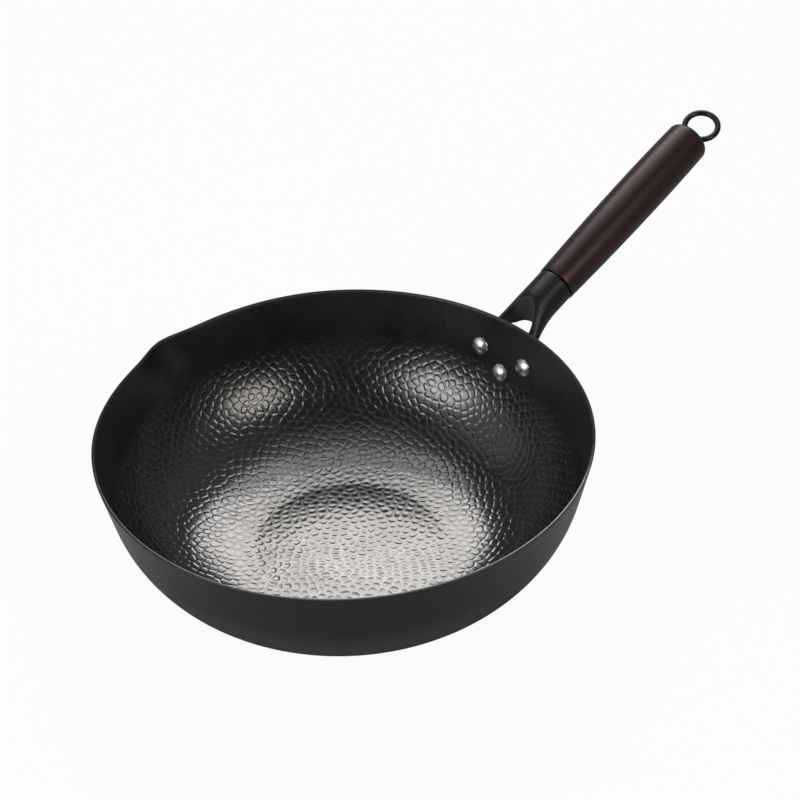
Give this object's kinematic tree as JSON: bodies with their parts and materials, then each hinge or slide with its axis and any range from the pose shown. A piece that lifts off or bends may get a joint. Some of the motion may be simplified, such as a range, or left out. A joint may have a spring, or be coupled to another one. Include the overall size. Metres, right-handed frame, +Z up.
{
  "type": "wok",
  "caption": "Flat-bottomed hammered iron wok with a pouring lip, a riveted black handle yoke, a turned dark wood grip and a hanging eye at its end.",
  "frame": {"origin": "middle of the flat base, on its underside", "axes": "+X out along the handle, +Y towards the side with the pouring lip, +Z up"},
  "size_m": [0.5402, 0.3231, 0.1677],
  "materials": {
    "bowl_iron": "hammered, seasoned satin black",
    "black_casting": "satin black",
    "rivet_steel": "polished",
    "grip_wood": "dark stain, satin lacquer"
  },
  "bodies": {
    "pan": {"bowl": "bowl_iron", "handle_yoke": "black_casting", "rivet_left": "rivet_steel", "rivet_right": "rivet_steel", "rivet_low": "rivet_steel", "wooden_grip": "grip_wood"},
    "eye": {"hanging_eye": "black_casting"}
  },
  "joints": [
    {"name": "eye_turn", "type": "hinge", "parent": "pan", "child": "eye", "pos_m": [0.208, 0, 0.10407], "axis": [0.9455, 0, 0.3256], "range_deg": [0, 270]}
  ]
}
